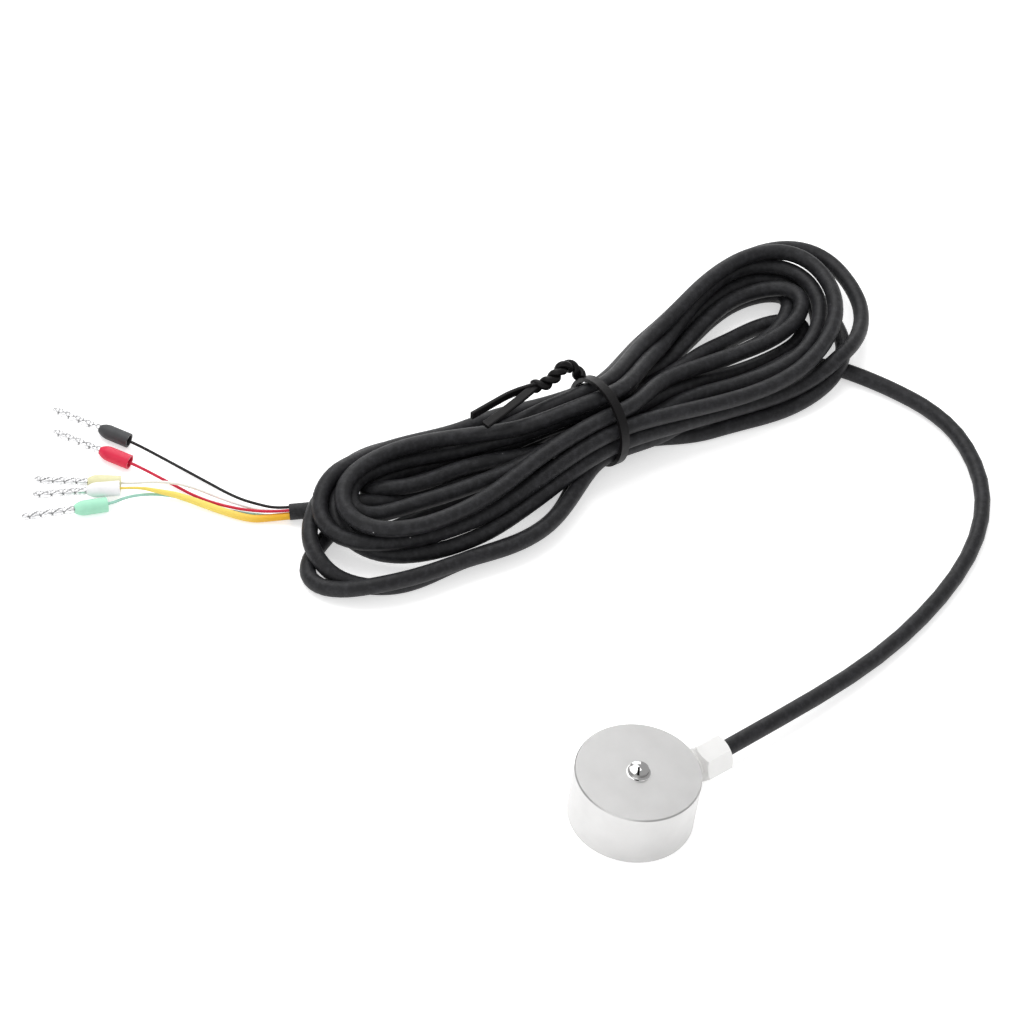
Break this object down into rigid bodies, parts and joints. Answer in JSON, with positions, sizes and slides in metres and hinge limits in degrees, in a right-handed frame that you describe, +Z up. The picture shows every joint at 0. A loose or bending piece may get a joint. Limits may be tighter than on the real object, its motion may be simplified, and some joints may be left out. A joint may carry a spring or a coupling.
{
  "type": "button load cell",
  "caption": "Compression button load cell: stainless puck with a domed load button, side cable gland, cable wound into a tied hank, leads ending in crimped ferrules.",
  "frame": {"origin": "centre of the puck's underside", "axes": "+Z up through the load button, +X out through the cable gland"},
  "size_m": [0.1903, 0.1627, 0.0204],
  "materials": {
    "stainless": "fine blasted satin, bright turned edges",
    "cover_steel": "satin",
    "gland_steel": "bright nickel plate",
    "gauge_foil": "amber film",
    "board": "solder mask",
    "chip": "matt",
    "jumper": "enamelled wire",
    "seal_rubber": "matt",
    "washer_brass": "turned",
    "cable_jacket": "soft sheen",
    "tie_plastic": "soft sheen",
    "insulation_black": "soft sheen",
    "insulation_red": "soft sheen",
    "insulation_white": "soft sheen",
    "insulation_green": "soft sheen",
    "sleeve_yellow": "soft sheen",
    "collar_black": "moulded",
    "collar_red": "moulded",
    "collar_yellow": "moulded",
    "collar_white": "moulded",
    "collar_green": "moulded",
    "tinned_copper": "crimped tin plate"
  },
  "bodies": {
    "root": {"sensor_body": "stainless", "base_cover": "cover_steel", "strain_gauge_1": "gauge_foil", "strain_gauge_2": "gauge_foil", "strain_gauge_3": "gauge_foil", "strain_gauge_4": "gauge_foil", "terminal_board": "board", "trim_resistors": "chip", "gauge_jumpers": "jumper", "inner_lead_red": "insulation_red", "inner_lead_white": "insulation_white", "inner_lead_green": "insulation_green", "inner_lead_black": "insulation_black", "gland_body": "gland_steel", "gland_nut": "gland_steel", "gland_seal": "seal_rubber", "gland_washer": "washer_brass", "cable_hank": "cable_jacket", "cable_run": "cable_jacket", "cable_tail": "cable_jacket", "wire_black": "insulation_black", "wire_red": "insulation_red", "wire_white": "insulation_white", "wire_green": "insulation_green", "shield_lead": "sleeve_yellow", "ferrule_collar_black": "collar_black", "ferrule_pin_black": "tinned_copper", "ferrule_collar_red": "collar_red", "ferrule_pin_red": "tinned_copper", "ferrule_collar_yellow": "collar_yellow", "ferrule_pin_yellow": "tinned_copper", "ferrule_collar_white": "collar_white", "ferrule_pin_white": "tinned_copper", "ferrule_collar_green": "collar_green", "ferrule_pin_green": "tinned_copper", "twist_tie": "tie_plastic"}
  },
  "joints": []
}
